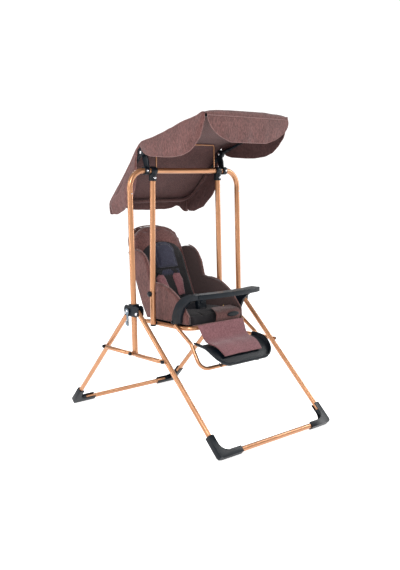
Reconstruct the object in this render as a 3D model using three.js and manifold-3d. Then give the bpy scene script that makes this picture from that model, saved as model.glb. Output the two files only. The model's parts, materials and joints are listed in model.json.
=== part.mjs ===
// Baby swing: a folding tubular stand, a hanging padded seat with bumper bar and footrest, and a fabric canopy.
// Millimetres, +Z up, the child faces -Y, left and right are the child's. The origin is on the floor, midway
// between the front and rear feet and between the two sides.

import * as THREE from 'three';
import { mergeVertices } from 'three/addons/utils/BufferGeometryUtils.js';
import Module from 'manifold-3d';

const wasm = await Module();
wasm.setup();

// Driving dimensions. Y is counted from the top bar until the last lines move the whole object.
const gap = 0.4;
const wall = 1.3;
const barHeight = 1142;
const postX = 325;
const postRadius = 12.5;
const topBend = 75;
const postJointZ = 1058;
const postFootZ = 334;
const postLean = 17.2 / 799;
const linkZ = 343;
const hubZ = 539;
const legRadius = 11;
const legPivotOffset = 37;
const legPivotZ = 523;
const floorTubeZ = 17;
const frontReach = 568;
const rearReach = 497;
const frontFootX = 329;
const rearFootX = 319;
const frontLinkY = -235;
const rearLinkY = 191;
const linkRadius = 9.5;
const linkX = 348;
const hangerTopX = 196;
const hangerLowX = 207.5;
const hangerKneeZ = 600;
const hangerEndZ = 450;
const railX = 180;
const railZ = 455;
const railFrontY = -212;
const railRadius = 10;
const backHinge = { y: 110, z: 470 };
const backAngle = 23 * Math.PI / 180;
const footrestX = 199;
const footrestPivot = { y: -150, z: 463 };
const footrestRadius = 8.5;
const armX = 182.8;
const canopyX = 238;
const canopyPivot = { y: 20, z: 1222 };
const bowRadius = 6;
const clothHalfWidth = 251;
const clothThickness = 2.5;
const sides = { left: 1, right: -1 };

const finishes = {
  copper: new THREE.MeshStandardMaterial({ color: 0xb9794f, roughness: 0.32, metalness: 0.75 }),
  slate: new THREE.MeshStandardMaterial({ color: 0x2b333d, roughness: 0.5, metalness: 0 }),
  chrome: new THREE.MeshStandardMaterial({ color: 0xc8c8cc, roughness: 0.15, metalness: 1 }),
  zinc: new THREE.MeshStandardMaterial({ color: 0x8a97a3, roughness: 0.4, metalness: 0.8 }),
  mauve: new THREE.MeshStandardMaterial({ color: 0x7d5a58, roughness: 0.95, metalness: 0 }),
  lining: new THREE.MeshStandardMaterial({ color: 0x1c1a1d, roughness: 0.95, metalness: 0 }),
  navy: new THREE.MeshStandardMaterial({ color: 0x2c2c3a, roughness: 0.9, metalness: 0 }),
  board: new THREE.MeshStandardMaterial({ color: 0x241d1e, roughness: 0.8, metalness: 0 })
};

const vec = (x, y, z) => new THREE.Vector3(x, y, z);

// The Y of the leaning post's axis at a height.
const postY = z => -(barHeight - z) * postLean;

// A line of straight stretches with an arc at each inner corner, sampled only where it turns.
class Route extends THREE.Curve {
  constructor(corners, radius, arcSteps = 5) {
    super();
    this.stations = [];
    corners.forEach((corner, i) => {
      if (i === 0 || i === corners.length - 1 || radius === 0) {
        this.stations.push(corner);
        return;
      }
      this.addArc(corner, corners[i - 1], corners[i + 1], radius, arcSteps);
    });
    this.steps = this.stations.length - 1;
  }

  addArc(corner, before, after, radius, arcSteps) {
    const back = before.clone().sub(corner).normalize();
    const ahead = after.clone().sub(corner).normalize();
    const half = back.angleTo(ahead) / 2;
    const centre = back.clone().add(ahead).normalize().multiplyScalar(radius / Math.sin(half)).add(corner);
    const start = back.multiplyScalar(radius / Math.tan(half)).add(corner).sub(centre);
    const end = ahead.multiplyScalar(radius / Math.tan(half)).add(corner).sub(centre);
    const sweep = start.angleTo(end);
    const axis = start.clone().cross(end).normalize();
    for (let k = 0; k <= arcSteps; k++) {
      this.stations.push(start.clone().applyAxisAngle(axis, sweep * k / arcSteps).add(centre));
    }
  }

  getPoint(t) {
    return this.stations[Math.round(t * this.steps)].clone();
  }

  getPointAt(u) {
    return this.getPoint(u);
  }

  getTangentAt(u) {
    const i = Math.round(u * this.steps);
    const ahead = this.stations[Math.min(i + 1, this.steps)].clone().sub(this.stations[i]).normalize();
    const behind = this.stations[i].clone().sub(this.stations[Math.max(i - 1, 0)]).normalize();
    return ahead.add(behind).normalize();
  }
}

const circle = (radius, count) => Array.from({ length: count }, (_, i) => {
  const angle = 2 * Math.PI * (i + 0.5) / count;
  return new THREE.Vector2(radius * Math.cos(angle), radius * Math.sin(angle));
});

function tube(route, radius, thickness = wall, count = 12) {
  const section = new THREE.Shape(circle(radius, count));
  if (thickness < radius) section.holes.push(new THREE.Path(circle(radius - thickness, count)));
  return new THREE.ExtrudeGeometry(section, { steps: route.steps, extrudePath: route, bevelEnabled: false });
}

const rod = (from, to, radius, count = 12) => tube(new Route([from, to], 0), radius, radius, count);

// A side view outline, drawn as [y, z], given a thickness along X about centreX.
function sidePlate(outline, centreX, thickness) {
  const shape = new THREE.Shape(outline.map(([y, z]) => new THREE.Vector2(y, z)));
  const plate = new THREE.ExtrudeGeometry(shape, { depth: thickness, bevelEnabled: false });
  plate.translate(0, 0, -thickness / 2);
  plate.rotateX(Math.PI / 2);
  plate.rotateZ(Math.PI / 2);
  return plate.translate(centreX, 0, 0);
}

// A turned piece: its profile is [radius, distance along X from centreX], pointing outwards on side s.
function turned(profile, centreX, y, z, s, count = 12) {
  const lathe = new THREE.LatheGeometry(profile.map(([r, h]) => new THREE.Vector2(r, h)), count);
  lathe.rotateZ(s < 0 ? Math.PI / 2 : -Math.PI / 2);
  return lathe.translate(s * centreX, y, z);
}

const box = (x0, x1, y0, y1, z0, z1) =>
  new THREE.BoxGeometry(Math.abs(x1 - x0), y1 - y0, z1 - z0)
    .translate((x0 + x1) / 2, (y0 + y1) / 2, (z0 + z1) / 2);

function toSolid(geometry) {
  const bare = new THREE.BufferGeometry();
  bare.setAttribute('position', geometry.getAttribute('position').clone());
  if (geometry.index) bare.setIndex(geometry.index.clone());
  const merged = mergeVertices(bare, 1e-3);
  const vertProperties = new Float32Array(merged.getAttribute('position').array);
  const triVerts = new Uint32Array(merged.index.array);
  return new wasm.Manifold(new wasm.Mesh({ numProp: 3, vertProperties, triVerts }));
}

function toGeometry(solid) {
  const mesh = solid.getMesh();
  const geometry = new THREE.BufferGeometry();
  geometry.setAttribute('position', new THREE.BufferAttribute(new Float32Array(mesh.vertProperties), 3));
  geometry.setIndex(Array.from(mesh.triVerts));
  return geometry;
}

const join = (...pieces) => toGeometry(pieces.map(toSolid).reduce((sum, piece) => sum.add(piece)));
const cut = (body, ...tools) =>
  toGeometry(tools.map(toSolid).reduce((left, tool) => left.subtract(tool), toSolid(body)));

// A closed solid from a sheet of outward-facing quads, thickened inwards.
function thicken(points, quads, thickness) {
  const normals = points.map(() => vec(0, 0, 0));
  for (const [a, b, c, d] of quads) {
    const normal = points[c].clone().sub(points[a]).cross(points[d].clone().sub(points[b]));
    for (const corner of [a, b, c, d]) normals[corner].add(normal);
  }
  const inner = points.map((point, i) => point.clone().addScaledVector(normals[i].normalize(), -thickness));
  const count = points.length;
  const index = [];
  const edges = new Map();
  for (const [a, b, c, d] of quads) {
    index.push(a, b, c, a, c, d, a + count, c + count, b + count, a + count, d + count, c + count);
    for (const [from, to] of [[a, b], [b, c], [c, d], [d, a]]) edges.set(`${from},${to}`, [from, to]);
  }
  for (const [from, to] of edges.values()) {
    if (edges.has(`${to},${from}`)) continue;
    index.push(to, from, from + count, to, from + count, to + count);
  }
  const geometry = new THREE.BufferGeometry();
  geometry.setFromPoints([...points, ...inner]);
  geometry.setIndex(index);
  return geometry;
}

// Quads over part of a grid whose points are kept under "row,column" keys.
class Sheet {
  constructor() {
    this.points = [];
    this.keys = new Map();
    this.quads = [];
  }

  set(row, column, point) {
    const key = `${row},${column}`;
    if (this.keys.has(key)) return;
    this.keys.set(key, this.points.length);
    this.points.push(point);
  }

  fill(rowFrom, rowTo, columnFrom, columnTo) {
    const at = (row, column) => this.keys.get(`${row},${column}`);
    for (let r = rowFrom; r < rowTo; r++) {
      for (let c = columnFrom; c < columnTo; c++) {
        this.quads.push([at(r, c), at(r, c + 1), at(r + 1, c + 1), at(r + 1, c)]);
      }
    }
  }

  solid(thickness) {
    return thicken(this.points, this.quads, thickness);
  }
}

function add(parent, name, geometry, finish) {
  const mesh = new THREE.Mesh(geometry, finishes[finish]);
  mesh.name = name;
  parent.add(mesh);
  return mesh;
}

// ---- Stand ----

function topBar() {
  const legEnd = s => vec(s * postX, postY(postJointZ), postJointZ + gap);
  const corner = s => vec(s * postX, 0, barHeight);
  return tube(new Route([legEnd(-1), corner(-1), corner(1), legEnd(1)], topBend, 6), postRadius, wall, 14);
}

function post(s) {
  const top = vec(s * postX, postY(postJointZ), postJointZ);
  const foot = vec(s * postX, postY(postFootZ), postFootZ);
  const buttonHole = rod(vec(s * postX, -30, postJointZ - 14), vec(s * postX, -4, postJointZ - 14), 3.6);
  const pivotHole = rod(vec(s * 300, postY(linkZ), linkZ), vec(s * 350, postY(linkZ), linkZ), 4.4);
  return cut(tube(new Route([top, foot], 0), postRadius, wall, 14), buttonHole, pivotHole);
}

function snapButton(s) {
  const z = postJointZ - 14;
  const y = postY(z) - postRadius;
  return join(
    rod(vec(s * postX, y - 1.6, z), vec(s * postX, y + 8, z), 3.1),
    rod(vec(s * postX, y + 3.4, z), vec(s * postX, y + 5.4, z), 5));
}

// The bolt and domed knob on which both links of one side turn.
function centrePivot(s) {
  const profile = [[0, 309], [4, 309], [4, 351.4], [8.5, 351.4], [8.5, 355], [6.8, 359], [3.6, 361], [0, 361.4]];
  return turned(profile, 0, postY(linkZ), linkZ, s);
}

function hub(s) {
  const y = postY(hubZ);
  const cheekOutline = [[y - 51, 538], [y - 46, 552], [y - 34, 558], [y - 18, 553], [y - 13, 562], [y + 13, 562],
    [y + 18, 553], [y + 34, 558], [y + 46, 552], [y + 51, 538], [y + 49, 515], [y + 38, 508], [y - 38, 508],
    [y - 49, 515]];
  const outerCheek = sidePlate(cheekOutline, s * (postX + 14.1), 5);
  const innerCheek = sidePlate(cheekOutline, s * (postX - 14.1), 5);
  const core = box(s * (postX - 16.6), s * (postX + 16.6), y - 17, y + 17, 508, 562);
  const pins = [-1, 1].map(side => legPivot(side)).map(pivot =>
    rod(vec(s * (postX - 16), pivot.y, pivot.z), vec(s * (postX + 19), pivot.y, pivot.z), 3));
  const leverPin = rod(vec(s * (postX + 15), y + 18, 531), vec(s * (postX + 27), y + 18, 531), 3.5);
  const bore = rod(vec(s * postX, postY(600), 600), vec(s * postX, postY(480), 480), postRadius + gap, 16);
  return cut(join(outerCheek, innerCheek, core, ...pins, leverPin), bore);
}

// The pivot of the front (-1) or rear (1) leg in the hub.
function legPivot(end) {
  return { y: postY(legPivotZ) + end * legPivotOffset, z: legPivotZ };
}

function lockLever(s) {
  const y = postY(hubZ) + 18;
  const outline = [[y - 11, 528], [y - 8, 539], [y + 2, 543], [y + 12, 538], [y + 13, 526], [y + 5, 515],
    [y + 3, 490], [y + 6, 470], [y - 1, 463], [y - 8, 466], [y - 8, 492], [y - 6, 514]];
  const plate = sidePlate(outline, s * (postX + 23), 4);
  const tab = box(s * (postX + 24), s * (postX + 31), y - 8, y + 4, 470, 486);
  const bore = rod(vec(s * (postX + 10), y, 531), vec(s * (postX + 40), y, 531), 3.9);
  return cut(join(plate, tab), bore);
}

// The U-bent tube of the front (-1) or rear (1) legs.
function legFrame(end) {
  const footX = end < 0 ? frontFootX : rearFootX;
  const pivot = legPivot(end);
  const foot = s => vec(s * footX, end * (end < 0 ? frontReach : rearReach), floorTubeZ);
  const top = s => {
    const hinge = vec(s * postX, pivot.y, pivot.z);
    return hinge.clone().addScaledVector(foot(s).sub(hinge).normalize(), -12);
  };
  const frame = tube(new Route([top(1), foot(1), foot(-1), top(-1)], 38), legRadius);
  const bores = Object.values(sides).map(s =>
    rod(vec(s * 300, pivot.y, pivot.z), vec(s * 350, pivot.y, pivot.z), 3.4));
  return cut(frame, ...bores);
}

// A corner shell: a channel along the leg and the floor tube, open towards the inside of the frame.
function foot(end, s) {
  const footX = end < 0 ? frontFootX : rearFootX;
  const corner = vec(s * footX, end * (end < 0 ? frontReach : rearReach), floorTubeZ);
  const pivot = legPivot(end);
  const up = vec(s * postX, pivot.y, pivot.z).sub(corner).normalize();
  const inward = vec(-s, 0, 0);
  inward.addScaledVector(up, -inward.dot(up)).normalize();
  const normal = inward.clone().cross(up);
  const legArm = 92;
  const barArm = 114;
  const skin = 13.4;
  const outline = [[-skin, 2], [-skin, legArm], [skin, legArm], [skin, 46], [20, 30], [30, 20], [46, skin],
    [barArm, skin], [barArm, -skin], [2, -skin], [-9, -9]];
  const shape = new THREE.Shape(outline.map(([x, y]) => new THREE.Vector2(x, y)));
  const block = new THREE.ExtrudeGeometry(shape, { depth: 27, bevelEnabled: false }).translate(0, 0, -13.5);
  block.applyMatrix4(new THREE.Matrix4().makeBasis(inward, up, normal).setPosition(corner));
  const barEnd = corner.clone().add(vec(-s * (barArm + 40), 0, 0));
  const legEnd = corner.clone().addScaledVector(up, legArm + 40);
  const channel = tube(new Route([legEnd, corner, barEnd], 38), legRadius + gap, legRadius + gap);
  const slotShape = new THREE.Shape([[-2, 30], [-2, legArm + 9], [30, legArm + 9], [30, 52], [52, 30],
    [barArm + 9, 30], [barArm + 9, -2], [30, -2], [18, 3], [3, 18]].map(([x, y]) => new THREE.Vector2(x, y)));
  const slot = new THREE.ExtrudeGeometry(slotShape, { depth: 20, bevelEnabled: false }).translate(0, 0, -10);
  slot.applyMatrix4(new THREE.Matrix4().makeBasis(inward, up, normal).setPosition(corner));
  const ground = box(-500, 500, corner.y - 200, corner.y + 200, -200, 0);
  return cut(block, channel, slot, ground);
}

// A flat-ended strut from the post's foot to a leg.
function link(end, s) {
  const near = vec(s * linkX, postY(linkZ), linkZ);
  const far = vec(s * linkX, end < 0 ? frontLinkY : rearLinkY, linkZ);
  const along = far.clone().sub(near).normalize();
  const bodyStart = near.clone().addScaledVector(along, 34);
  const bodyEnd = far.clone().addScaledVector(along, -17);
  const body = rod(bodyStart, bodyEnd, linkRadius);
  const tabEnd = (centre, x, reach) => {
    const across = half => [vec(s * (x - half), centre.y, centre.z), vec(s * (x + half), centre.y, centre.z)];
    const hole = rod(...across(9), 4.4);
    const eye = rod(...across(2.4), linkRadius);
    const toBody = [centre.y, centre.y + reach].sort((a, b) => a - b);
    const strap = box(s * (x - 2.4), s * (x + 2.4), toBody[0], toBody[1], linkZ - linkRadius + 1,
      linkZ + linkRadius - 1);
    return cut(join(eye, strap), hole);
  };
  const nearTab = tabEnd(near, end < 0 ? linkX - 6.6 : linkX - 1.4, end * 39);
  const farTab = tabEnd(far, linkX - 6.6, -end * 22);
  return join(body, nearTab, farTab);
}

// The bolt, washer and domed knob at a link's leg end.
function linkKnob(end, s) {
  const profile = [[0, 338.6], [4, 338.6], [4, 344.4], [8.5, 344.4], [8.5, 350], [6.8, 354], [3.6, 356],
    [0, 356.4]];
  return turned(profile, 0, end < 0 ? frontLinkY : rearLinkY, linkZ, s);
}

// ---- Canopy support ----

function canopyBracket(s) {
  const { y, z } = canopyPivot;
  const clamp = rod(vec(s * 225, 0, barHeight), vec(s * 247, 0, barHeight), 18.5, 18);
  const lug = box(s * 229, s * 243, 6, 27, barHeight - 9, barHeight + 7);
  const outline = [[-13, barHeight + 4], [13, barHeight + 4], [y + 9, z - 34], [y + 15, z], [y + 9, z + 13],
    [y - 6, z + 14], [y - 14, z], [-9, z - 34]];
  const upright = sidePlate(outline, s * 226, 6);
  const bore = rod(vec(s * 215, 0, barHeight), vec(s * 260, 0, barHeight), postRadius + gap, 16);
  const pivotBore = rod(vec(s * 215, y, z), vec(s * 240, y, z), 4.4);
  return cut(join(clamp, lug, upright), bore, pivotBore);
}

function canopyRivet(s) {
  const profile = [[0, -18.5], [6, -18.5], [7.5, -16.4], [7.5, -15.4], [4, -15.4], [4, 9.2], [7.5, 9.2],
    [7.5, 9.8], [5.5, 11.6], [0, 12.4]];
  return turned(profile, canopyX, canopyPivot.y, canopyPivot.z, s);
}

const bowTip = {
  front: { y: -383, z: 1357 },
  rear: { y: 247, z: 1001 }
};

// A point along one arm of a bow, at a distance from the pivot.
function onBow(which, s, distance) {
  const start = vec(s * canopyX, canopyPivot.y, canopyPivot.z);
  const tip = vec(s * canopyX, bowTip[which].y, bowTip[which].z);
  return start.clone().addScaledVector(tip.sub(start).normalize(), distance);
}

function bow(which, bend) {
  const tip = s => vec(s * canopyX, bowTip[which].y, bowTip[which].z);
  const route = new Route([onBow(which, 1, 24), tip(1), tip(-1), onBow(which, -1, 24)], bend);
  return tube(route, bowRadius, bowRadius, 10);
}

// The moulded pivot head that holds one end of each bow.
function canopyHead(s) {
  const { y, z } = canopyPivot;
  const disc = rod(vec(s * 229.6, y, z), vec(s * 246.4, y, z), 19, 16);
  const sockets = ['front', 'rear'].map(which => rod(onBow(which, s, 4), onBow(which, s, 62), bowRadius + 2.6));
  const bores = ['front', 'rear'].map(which => rod(onBow(which, s, 23.4), onBow(which, s, 80), bowRadius + gap));
  const rivetBore = rod(vec(s * 220, y, z), vec(s * 260, y, z), 4.4);
  return cut(join(disc, ...sockets), ...bores, rivetBore);
}

function wireBow() {
  const foot = s => vec(s * 175, 0, barHeight + postRadius + gap);
  const top = s => vec(s * 175, 0, 1261);
  return tube(new Route([foot(-1), top(-1), top(1), foot(1)], 9, 4), 3, 3, 8);
}

// Roof, front and rear valances and four side flaps, sewn into one cloth.
function canopyCloth() {
  const roof = [[-397, 1382], [-345, 1364], [-270, 1342], [-140, 1304], [-20, 1277], [8, 1271], [34, 1253],
    [60, 1221], [130, 1143], [200, 1073], [266, 1010]];
  const frontFlap = [[-393, 1345], [-345, 1248], [-270, 1204], [-140, 1197], [-32, 1220]];
  const rearFlap = { 7: [50, 1130], 8: [74, 1046], 9: [140, 973], 10: [243, 946] };
  const across = 6;
  const last = roof.length - 1;
  const sheet = new Sheet();
  const crown = x => -6 * (x / clothHalfWidth) ** 2;
  const rowAcross = (row, y, z, half) => {
    for (let c = 0; c <= across; c++) {
      const x = half * (2 * c / across - 1);
      sheet.set(row, c, vec(x, y, z + crown(x)));
    }
  };
  roof.forEach(([y, z], row) => rowAcross(row, y, z, row === last ? 240 : clothHalfWidth));
  rowAcross(-1, -402, 1362, 249);
  rowAcross(-2, -405, 1312, 226);
  rowAcross(-3, -400, 1258, 132);
  rowAcross(last + 1, 270, 988, 236);
  rowAcross(last + 2, 264, 966, 226);
  const sideFlap = (row, hem) => {
    for (const [s, edge, step] of [[-1, 0, -1], [1, across, 1]]) {
      const [y, z] = roof[row];
      const width = row === last ? 246 : clothHalfWidth + 2;
      sheet.set(row, edge + step, vec(s * width, (y + hem[0]) / 2, (z + crown(width) + hem[1]) / 2));
      sheet.set(row, edge + 2 * step, vec(s * (width - 1), hem[0], hem[1]));
    }
  };
  frontFlap.forEach((hem, row) => sideFlap(row, hem));
  Object.entries(rearFlap).forEach(([row, hem]) => sideFlap(Number(row), hem));
  sheet.fill(-3, last + 2, 0, across);
  for (const [from, to] of [[-2, 0], [across, across + 2]]) {
    sheet.fill(0, frontFlap.length - 1, from, to);
    sheet.fill(7, last, from, to);
  }
  return sheet.solid(clothThickness);
}

// ---- Hanging seat ----

// A point on the upper, splayed length of a hanger's axis, at a height.
function onHanger(s, z) {
  const along = (barHeight - z) / (barHeight - hangerKneeZ);
  return vec(s * (hangerTopX + along * (hangerLowX - hangerTopX)), 0, z);
}

function hangerClamp(s) {
  const collar = rod(vec(s * (hangerTopX - 15), 0, barHeight), vec(s * (hangerTopX + 15), 0, barHeight), 18.5, 18);
  const socket = rod(onHanger(s, barHeight), onHanger(s, 1097), 17, 16);
  const barBore = rod(vec(s * 150, 0, barHeight), vec(s * 240, 0, barHeight), postRadius + gap, 16);
  const hangerBore = rod(onHanger(s, 1125), onHanger(s, 1080), postRadius + gap, 16);
  return cut(join(collar, socket), barBore, hangerBore);
}

function hangerTube(s) {
  const stations = [onHanger(s, 1124), vec(s * hangerLowX, 0, hangerKneeZ), vec(s * hangerLowX, 0, hangerEndZ)];
  const knobBore = rod(vec(s * 180, 0, 594), vec(s * 240, 0, 594), 4.4);
  return cut(tube(new Route(stations, 200, 3), postRadius, wall, 14), knobBore);
}

function hangerKnob(s) {
  const profile = [[0, -16], [6.5, -16], [6.5, -13.2], [4, -13.2], [4, 13.2], [11, 13.2], [13, 16], [12.4, 22],
    [8, 25.4], [0, 26.4]];
  return turned(profile, hangerLowX, 0, 594, s, 14);
}

// The spacer between a hanger's foot and the seat rail.
function seatWasher(s) {
  const z = railZ + 3;
  const inner = railX + railRadius + gap;
  const outer = hangerLowX - postRadius - gap;
  return rod(vec(s * inner, 0, z), vec(s * outer, 0, z), 9.5);
}

function seatRail() {
  const end = s => vec(s * railX, 92, railZ);
  const corner = s => vec(s * railX, railFrontY, railZ);
  return tube(new Route([end(1), corner(1), corner(-1), end(-1)], 55), railRadius);
}

// The reclined back: distances up the back and forward of it, as a point of the side view.
const onBack = (up, forward) => [
  backHinge.y + up * Math.sin(backAngle) - forward * Math.cos(backAngle),
  backHinge.z + up * Math.cos(backAngle) + forward * Math.sin(backAngle)
];

// A plate or pad lying along the reclined back, its outline drawn as [x, distance up the back].
function backPlate(outline, forward, thickness) {
  const shape = new THREE.Shape(outline.map(([x, up]) => new THREE.Vector2(x, up)));
  const plate = new THREE.ExtrudeGeometry(shape, { depth: thickness, bevelEnabled: false, curveSegments: 4 });
  const [y, z] = onBack(0, forward);
  const across = vec(1, 0, 0);
  const up = vec(0, Math.sin(backAngle), Math.cos(backAngle));
  const place = new THREE.Matrix4().makeBasis(across, up, across.clone().cross(up)).setPosition(0, y, z);
  return plate.applyMatrix4(place);
}

// A headrest shape: straight sides closed by a top that is elliptical at squareness 2 and boxier above it.
function archOutline(half, bottom, shoulder, top, squareness = 2, steps = 12) {
  const arch = Array.from({ length: steps + 1 }, (_, i) => {
    const angle = Math.PI * i / steps;
    const across = Math.abs(Math.cos(angle)) ** (2 / squareness) * Math.sign(Math.cos(angle));
    return [half * across, shoulder + (top - shoulder) * Math.sin(angle) ** (2 / squareness)];
  });
  return [[-half, bottom], [half, bottom], ...arch];
}

function seatPan() {
  const outline = [[-169, -155], [-128, -199], [128, -199], [169, -155], [169, 96], [-169, 96]];
  const shape = new THREE.Shape(outline.map(([x, y]) => new THREE.Vector2(x, y)));
  return new THREE.ExtrudeGeometry(shape, { depth: 6, bevelEnabled: false }).translate(0, 0, railZ - 3);
}

function seatCushion() {
  const outline = [[-197, 459], [94, 459], [86, 498], [-60, 506], [-186, 502], [-199, 488]];
  return sidePlate(outline, 0, 290);
}

const backBoard = () => backPlate(archOutline(150, 8, 335, 446, 2.5), -9, 6);

const backCushion = () => backPlate(archOutline(143, 34, 330, 438, 2.5), -1, 42);

const headPad = () => backPlate(archOutline(66, 206, 300, 344, 2, 8), 43, 20);

function sideWing(s) {
  const outline = [[-200, 466], [-196, 505], [-160, 548], [-122, 588], [-61, 622], [-5, 635], [62, 642], [82, 712],
    [110, 755], [140, 774], [172, 782], onBack(322, 34), onBack(326, 2), onBack(60, 2), [100, 476], [100, 466]];
  return sidePlate(outline, s * 160.5, 26);
}

function shoulderPad(s) {
  const outline = s > 0 ? [[24, 62], [66, 62], [78, 150], [66, 182], [30, 186], [14, 168]]
    : [[-8, 62], [-40, 62], [-86, 140], [-88, 166], [-66, 186], [-36, 180], [-26, 160]].reverse();
  return backPlate(outline, 43, 12);
}

const buckleSpot = { y: -92, z: 543 };

function buckle() {
  const { y, z } = buckleSpot;
  const outline = [[y - 12, z - 28], [y + 6, z - 34], [y + 12, z + 20], [y + 2, z + 28], [y - 8, z + 22]];
  const shell = sidePlate(outline, 0, 52);
  const well = rod(vec(0, y - 30, z), vec(0, y - 5, z), 11.4, 16);
  return cut(shell, well);
}

function buckleButton() {
  const { y, z } = buckleSpot;
  return rod(vec(0, y - 13.4, z), vec(0, y - 8.2, z), 10.8, 16);
}

function bumperBar() {
  const outer = [[-184, -290], [-150, -299], [-80, -308], [0, -311], [80, -308], [150, -299], [184, -290]];
  const inner = [[184, -240], [150, -247], [80, -259], [0, -263], [-80, -259], [-150, -247], [-184, -240]];
  const shape = new THREE.Shape([...outer, ...inner].map(([x, y]) => new THREE.Vector2(x, y)));
  const bar = new THREE.ExtrudeGeometry(shape, { depth: 21, bevelEnabled: false }).translate(0, 0, 594);
  const arms = Object.values(sides).map(s => sidePlate([[-108, 470], [-116, 467], [-158, 466.5], [-167, 476],
    [-171, 508], [-190, 548], [-232, 582], [-286, 594], [-286, 615], [-216, 609], [-176, 592], [-141, 563],
    [-122, 533], [-110, 500]], s * armX, 14.6));
  return join(bar, ...arms);
}

// ---- Footrest ----

function footrestTube() {
  const { y, z } = footrestPivot;
  const knee = s => vec(s * footrestX, -249, 400);
  const corner = s => vec(s * footrestX, -313, 297);
  const end = s => vec(s * footrestX, y + 6, z + 4);
  const arms = [end(1), knee(1), corner(1), corner(-1), knee(-1), end(-1)];
  return tube(new Route(arms, 42, 4), footrestRadius, 1.2, 10);
}

// The scooped plate: a floor that rolls forward and down, with a raised rim round its sides and front.
function footPlate() {
  const floor = [[-246, 386, 176], [-290, 385, 178], [-330, 374, 177], [-360, 350, 170], [-386, 325, 152],
    [-400, 312, 118]];
  const across = 8;
  const sheet = new Sheet();
  const span = (row, y, z, half, rim) => {
    for (let c = 0; c <= across; c++) sheet.set(row, c, vec(half * (2 * c / across - 1), y, z));
    sheet.set(row, -1, vec(-half - 5, y - rim.forward, z + rim.height));
    sheet.set(row, across + 1, vec(half + 5, y - rim.forward, z + rim.height));
  };
  floor.forEach(([y, z, half], row) => span(row, y, z, half, { forward: row * 1.6, height: 19 }));
  span(floor.length, -410, 333, 122, { forward: 2, height: 1 });
  sheet.fill(0, floor.length, -1, across + 1);
  return sheet.solid(3.5);
}

function legRest() {
  const line = [[-224, 467, 138], [-240, 438, 134], [-258, 407, 130], [-282, 393, 127], [-320, 386, 123],
    [-346, 371, 119], [-370, 350, 113]];
  const sheet = new Sheet();
  line.forEach(([y, z, half], row) => {
    for (let c = 0; c <= 2; c++) sheet.set(row, c, vec(half * (c - 1), y, z));
  });
  sheet.fill(0, line.length - 1, 0, 2);
  return sheet.solid(7);
}

// ---- Assembly ----

const swing = new THREE.Group();

add(swing, 'top_bar_tube', topBar(), 'copper');
add(swing, 'support_wire_bow', wireBow(), 'copper');
add(swing, 'canopy_cloth', canopyCloth(), 'mauve');
add(swing, 'canopy_front_bow', bow('front', 16), 'slate');
add(swing, 'canopy_rear_bow', bow('rear', 70), 'slate');
add(swing, 'front_leg_tube', legFrame(-1), 'copper');
add(swing, 'rear_leg_tube', legFrame(1), 'copper');
add(swing, 'seat_rail_tube', seatRail(), 'copper');
add(swing, 'seat_pan', seatPan(), 'board');
add(swing, 'backrest_board', backBoard(), 'board');
add(swing, 'seat_cushion', seatCushion(), 'lining');
add(swing, 'back_cushion', backCushion(), 'lining');
add(swing, 'head_pad', headPad(), 'navy');
add(swing, 'harness_buckle', buckle(), 'slate');
add(swing, 'buckle_button', buckleButton(), 'slate');
add(swing, 'bumper_bar', bumperBar(), 'slate');
add(swing, 'footrest_tube', footrestTube(), 'copper');
add(swing, 'footrest_plate', footPlate(), 'slate');
add(swing, 'leg_rest_pad', legRest(), 'mauve');

for (const [side, s] of Object.entries(sides)) {
  add(swing, `post_tube_${side}`, post(s), 'copper');
  add(swing, `post_snap_button_${side}`, snapButton(s), 'chrome');
  add(swing, `centre_pivot_knob_${side}`, centrePivot(s), 'slate');
  add(swing, `hub_${side}`, hub(s), 'slate');
  add(swing, `lock_lever_${side}`, lockLever(s), 'zinc');
  add(swing, `front_foot_${side}`, foot(-1, s), 'slate');
  add(swing, `rear_foot_${side}`, foot(1, s), 'slate');
  add(swing, `front_link_${side}`, link(-1, s), 'copper');
  add(swing, `rear_link_${side}`, link(1, s), 'copper');
  add(swing, `front_link_knob_${side}`, linkKnob(-1, s), 'slate');
  add(swing, `rear_link_knob_${side}`, linkKnob(1, s), 'slate');
  add(swing, `canopy_bracket_${side}`, canopyBracket(s), 'slate');
  add(swing, `canopy_rivet_${side}`, canopyRivet(s), 'chrome');
  add(swing, `canopy_head_${side}`, canopyHead(s), 'slate');
  add(swing, `hanger_clamp_${side}`, hangerClamp(s), 'slate');
  add(swing, `hanger_tube_${side}`, hangerTube(s), 'copper');
  add(swing, `hanger_knob_${side}`, hangerKnob(s), 'slate');
  add(swing, `seat_washer_${side}`, seatWasher(s), 'slate');
  add(swing, `side_wing_${side}`, sideWing(s), 'mauve');
  add(swing, `shoulder_pad_${side}`, shoulderPad(s), 'mauve');
}

// The feet reach further forward than back, so the floor origin lies ahead of the top bar.
swing.position.y = (frontReach - rearReach) / 2;

export default swing;
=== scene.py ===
import bpy
import json
import math
import bmesh
import numpy as np
from mathutils import Matrix, Vector, noise


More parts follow.
